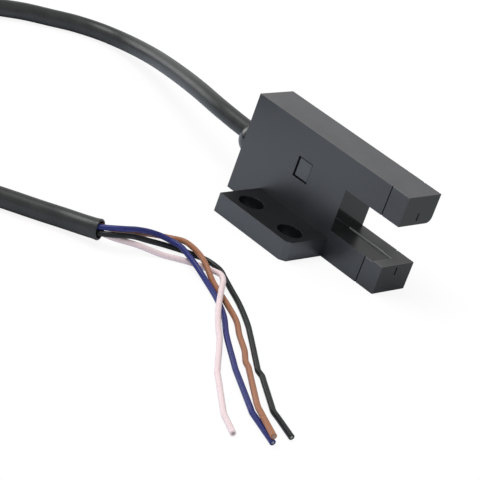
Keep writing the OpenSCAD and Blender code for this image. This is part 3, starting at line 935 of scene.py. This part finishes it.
class HousingOperator(Operator):
    """Makes the moulded case, its caps, the window and the resin with rounded edges"""
    bl_idname = "fork_sensor.housing"
    bl_label = "Housing"

    def execute(self, context):
        sizes = context.scene.fork_sensor_sizes
        finish = context.scene.fork_sensor_finish
        moulded = {"grain": 14000, "patch": 350, "depth": 0.004}
        plastic = toned_finish("Moulded plastic", finish.case_colour, 0.003, (0.32, 0.39),
                               bump=0.14, gloss=1.0, **moulded)
        # Rounded edges take a lighter colour, a painted highlight
        edge_highlight = toned_finish("Worn edges", finish.edge_highlight_colour, 0.01, (0.3, 0.4),
                            grain=14000, patch=1200, depth=0.004, bump=0.2, gloss=1.0)
        window_finish = toned_finish("Window plastic", finish.window_colour, 0.004, (0.24, 0.3),
                                     grain=9000, patch=600, depth=0.003, bump=0.1, gloss=1.0)
        resin_finish = toned_finish("Potting resin", finish.resin_colour, 0.004, (0.14, 0.2),
                                    grain=1500, patch=500, depth=0.006, bump=0.1, gloss=0.8)
        # The dull, satin and smooth finishes take the darker colour: painted shade on low and inner faces
        dull_shaded = toned_finish("Dull plastic", finish.shaded_colour, 0.003, (0.3, 0.38),
                            bump=0.1, gloss=0.42, **moulded)
        satin_shaded = toned_finish("Satin plastic", finish.shaded_colour, 0.003, (0.28, 0.34),
                             bump=0.1, gloss=0.25, **moulded)
        # Light finish on the strip's edge in the slot: a painted highlight
        highlighted = toned_finish("Scuffed edge", finish.highlight_colour, 0.05, (0.4, 0.5),
                               grain=9000, patch=1500, depth=0.004, bump=0.2)
        smooth = toned_finish("Smooth plastic", finish.shaded_colour, 0.003, (0.1, 0.14),
                              bump=0.03, gloss=1.0, **moulded)
        edge = sizes.edge_radius
        seam = sizes.seam_place
        coats = [plastic, dull_shaded, satin_shaded, highlighted, smooth, edge_highlight]
        body = eased_mesh("case", "case_body", edge, coats, flush=seam, low_finishes=True)
        piece("case_body", body, ("case",))
        for node in ("emitter_cap", "receiver_cap"):
            cap = eased_mesh(node, node + "_body", edge, coats, flush=seam, low_finishes=True)
            piece(node + "_body", cap, (node,))
        window = eased_mesh("indicator_window", "window_plate", edge, [window_finish, edge_highlight])
        piece("window_plate", window, ("indicator_window",))
        resin = eased_mesh("resin_seal", "resin_drop", RESIN_EDGE, [resin_finish], hollows=True, segments=4,
                           blend=40)
        piece("resin_drop", resin, ("resin_seal",))
        return {"FINISHED"}


def paint_node(node, material):
    """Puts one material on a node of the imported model"""
    for slot in NODES[node].material_slots:
        slot.material = material


class CircuitOperator(Operator):
    """Gives the board and its components their finishes"""
    bl_idname = "fork_sensor.circuit"
    bl_label = "Circuit"

    def execute(self, context):
        finishes = {
            "Solder mask": (("circuit_board",), (0.02, 0.12, 0.05), (0.03, 0.16, 0.07), (0.3, 0.4)),
            "Clear lamp": (("emitter_led", "indicator_led"),
                           (0.7, 0.68, 0.62), (0.8, 0.78, 0.7), (0.15, 0.25)),
            "Chip package": (("receiver_ic", "output_transistor", "protection_diode", "chip_resistors"),
                             (0.015, 0.015, 0.016), (0.025, 0.025, 0.026), (0.5, 0.6)),
            "Ceramic": (("chip_capacitors",), (0.42, 0.32, 0.2), (0.5, 0.38, 0.25), (0.4, 0.5)),
            "Lead insulation": (("inner_leads",), (0.4, 0.17, 0.085), (0.45, 0.2, 0.1), (0.4, 0.5)),
        }
        for name, (nodes, colour, tone, roughness) in finishes.items():
            material = finish_material(name, colour, tone, roughness)
            for node in nodes:
                paint_node(node, material)
        solder = finish_material("Solder", (0.7, 0.7, 0.72), (0.78, 0.78, 0.8), (0.25, 0.4), metallic=1.0)
        paint_node("solder_joints", solder)
        return {"FINISHED"}


class StageOperator(Operator):
    """Makes the floor, the surroundings and the lights"""
    bl_idname = "fork_sensor.stage"
    bl_label = "Stage"

    def execute(self, context):
        stage = context.scene.fork_sensor_stage
        context.scene.view_settings.view_transform = "Standard"
        self.make_floor(stage)
        self.make_world(context, stage)
        self.make_light("Key softbox", *KEY_LIGHT, stage.key_power)
        self.make_light("Side softbox", *SIDE_LIGHT, stage.side_power)
        return {"FINISHED"}

    def make_floor(self, stage):
        """Floor that is white for the camera and keeps the shadow, and for other rays has its own colour with
        a painted shadow behind the tips
        """
        half = FLOOR_HALF
        mesh = bpy.data.meshes.new("floor")
        corners = [(-half, -half), (half, -half), (half, half), (-half, half)]
        mesh.from_pydata([(x, y, -FLOOR_DROP) for x, y in corners], [], [(0, 1, 2, 3)])
        floor = placed("floor", mesh)
        material = bpy.data.materials.new("Pale floor")
        material.use_nodes = True
        tree = material.node_tree
        tree.nodes.remove(tree.nodes["Principled BSDF"])
        plain = tree.nodes.new("ShaderNodeBsdfDiffuse")
        place = tree.nodes.new("ShaderNodeTexCoord")
        along = tree.nodes.new("ShaderNodeVectorMath")
        along.operation = "DOT_PRODUCT"
        along.inputs[1].default_value = SHADOW_WAY
        # Painted shadow: the floor darkens behind the tips
        shadow_fade = tree.nodes.new("ShaderNodeMapRange")
        shadow_fade.interpolation_type = "SMOOTHSTEP"
        shadow_fade.inputs["From Min"].default_value = SHADOW_RANGE[0]
        shadow_fade.inputs["From Max"].default_value = SHADOW_RANGE[1]
        tint = colour_mix(tree)
        tint.inputs["A"].default_value = (*stage.floor_colour, 1.0)
        tint.inputs["B"].default_value = (*stage.shadow_colour, 1.0)
        shown = colour_mix(tree)
        shown.inputs["B"].default_value = SHOWN_COLOUR
        white = tree.nodes.new("ShaderNodeEmission")
        white.inputs["Strength"].default_value = WHITE_STRENGTH
        path = tree.nodes.new("ShaderNodeLightPath")
        share = tree.nodes.new("ShaderNodeMath")
        share.operation = "MULTIPLY"
        share.inputs[1].default_value = WHITE_SHARE
        mix = tree.nodes.new("ShaderNodeMixShader")
        link(tree, place.outputs["Object"], along.inputs[0])
        link(tree, along.outputs["Value"], shadow_fade.inputs["Value"])
        link(tree, shadow_fade.outputs["Result"], tint.inputs["Factor"])
        link(tree, tint.outputs["Result"], shown.inputs["A"])
        link(tree, path.outputs["Is Camera Ray"], shown.inputs["Factor"])
        link(tree, shown.outputs["Result"], plain.inputs["Color"])
        link(tree, path.outputs["Is Camera Ray"], share.inputs[0])
        link(tree, share.outputs["Value"], mix.inputs["Fac"])
        link(tree, plain.outputs["BSDF"], mix.inputs[1])
        link(tree, white.outputs["Emission"], mix.inputs[2])
        link(tree, mix.outputs["Shader"], tree.nodes["Material Output"].inputs["Surface"])
        mesh.materials.append(material)

    def make_world(self, context, stage):
        """Surroundings that are white for the camera, and brighter behind the cable for other rays"""
        world = bpy.data.worlds.new("White surroundings")
        context.scene.world = world
        world.use_nodes = True
        tree = world.node_tree
        base = tree.nodes["Background"]
        base.inputs["Color"].default_value = (1, 1, 1, 1)
        path = tree.nodes.new("ShaderNodeLightPath")
        place = tree.nodes.new("ShaderNodeTexCoord")
        towards = tree.nodes.new("ShaderNodeVectorMath")
        towards.operation = "DOT_PRODUCT"
        towards.inputs[1].default_value = BACK_WAY
        light = tree.nodes.new("ShaderNodeMapRange")
        light.inputs["From Min"].default_value = BACK_RANGE[0]
        light.inputs["From Max"].default_value = BACK_RANGE[1]
        light.inputs["To Min"].default_value = stage.world_strength
        light.inputs["To Max"].default_value = stage.back_strength
        strength = tree.nodes.new("ShaderNodeMix")
        strength.inputs["B"].default_value = 1.0
        link(tree, place.outputs["Generated"], towards.inputs[0])
        link(tree, towards.outputs["Value"], light.inputs["Value"])
        link(tree, path.outputs["Is Camera Ray"], strength.inputs["Factor"])
        link(tree, light.outputs["Result"], strength.inputs["A"])
        link(tree, strength.outputs["Result"], base.inputs["Strength"])

    def make_light(self, name, place, target, size, power):
        """Square soft light at a place, turned to its target"""
        data = bpy.data.lights.new(name, "AREA")
        data.shape = "SQUARE"
        data.size = size
        data.energy = power
        light = placed(name, data)
        light.location = metres(place)
        way = metres(target) - metres(place)
        light.rotation_euler = way.to_track_quat("-Z", "Y").to_euler()


class ForkSensorPanel(Panel):
    """Lists the pieces of the fork sensor and their settings"""
    bl_idname = "VIEW3D_PT_fork_sensor"
    bl_label = "Fork sensor"
    bl_space_type = "VIEW_3D"
    bl_region_type = "UI"
    bl_category = "Fork sensor"

    def draw(self, context):
        layout = self.layout
        for operator in OPERATORS:
            layout.operator(operator.bl_idname)
        for settings in SETTINGS:
            group = getattr(context.scene, settings)
            box = layout.box()
            for name in group.__annotations__:
                box.prop(group, name)


SETTINGS = {
    "fork_sensor_sizes": ForkSensorSizes,
    "fork_sensor_finish": ForkSensorFinish,
    "fork_sensor_stage": ForkSensorStage,
}
OPERATORS = (CameraOperator, CableOperator, CoresOperator, HousingOperator, CircuitOperator, StageOperator)


def register():
    for name, group in SETTINGS.items():
        bpy.utils.register_class(group)
        setattr(bpy.types.Scene, name, PointerProperty(type=group))
    for operator in OPERATORS:
        bpy.utils.register_class(operator)
    bpy.utils.register_class(ForkSensorPanel)


def unregister():
    bpy.utils.unregister_class(ForkSensorPanel)
    for operator in reversed(OPERATORS):
        bpy.utils.unregister_class(operator)
    for name, group in SETTINGS.items():
        delattr(bpy.types.Scene, name)
        bpy.utils.unregister_class(group)


def main():
    register()
    bpy.ops.fork_sensor.camera()
    bpy.ops.fork_sensor.cable()
    bpy.ops.fork_sensor.cores()
    bpy.ops.fork_sensor.housing()
    bpy.ops.fork_sensor.circuit()
    bpy.ops.fork_sensor.stage()


if __name__ == "__main__":
    main()
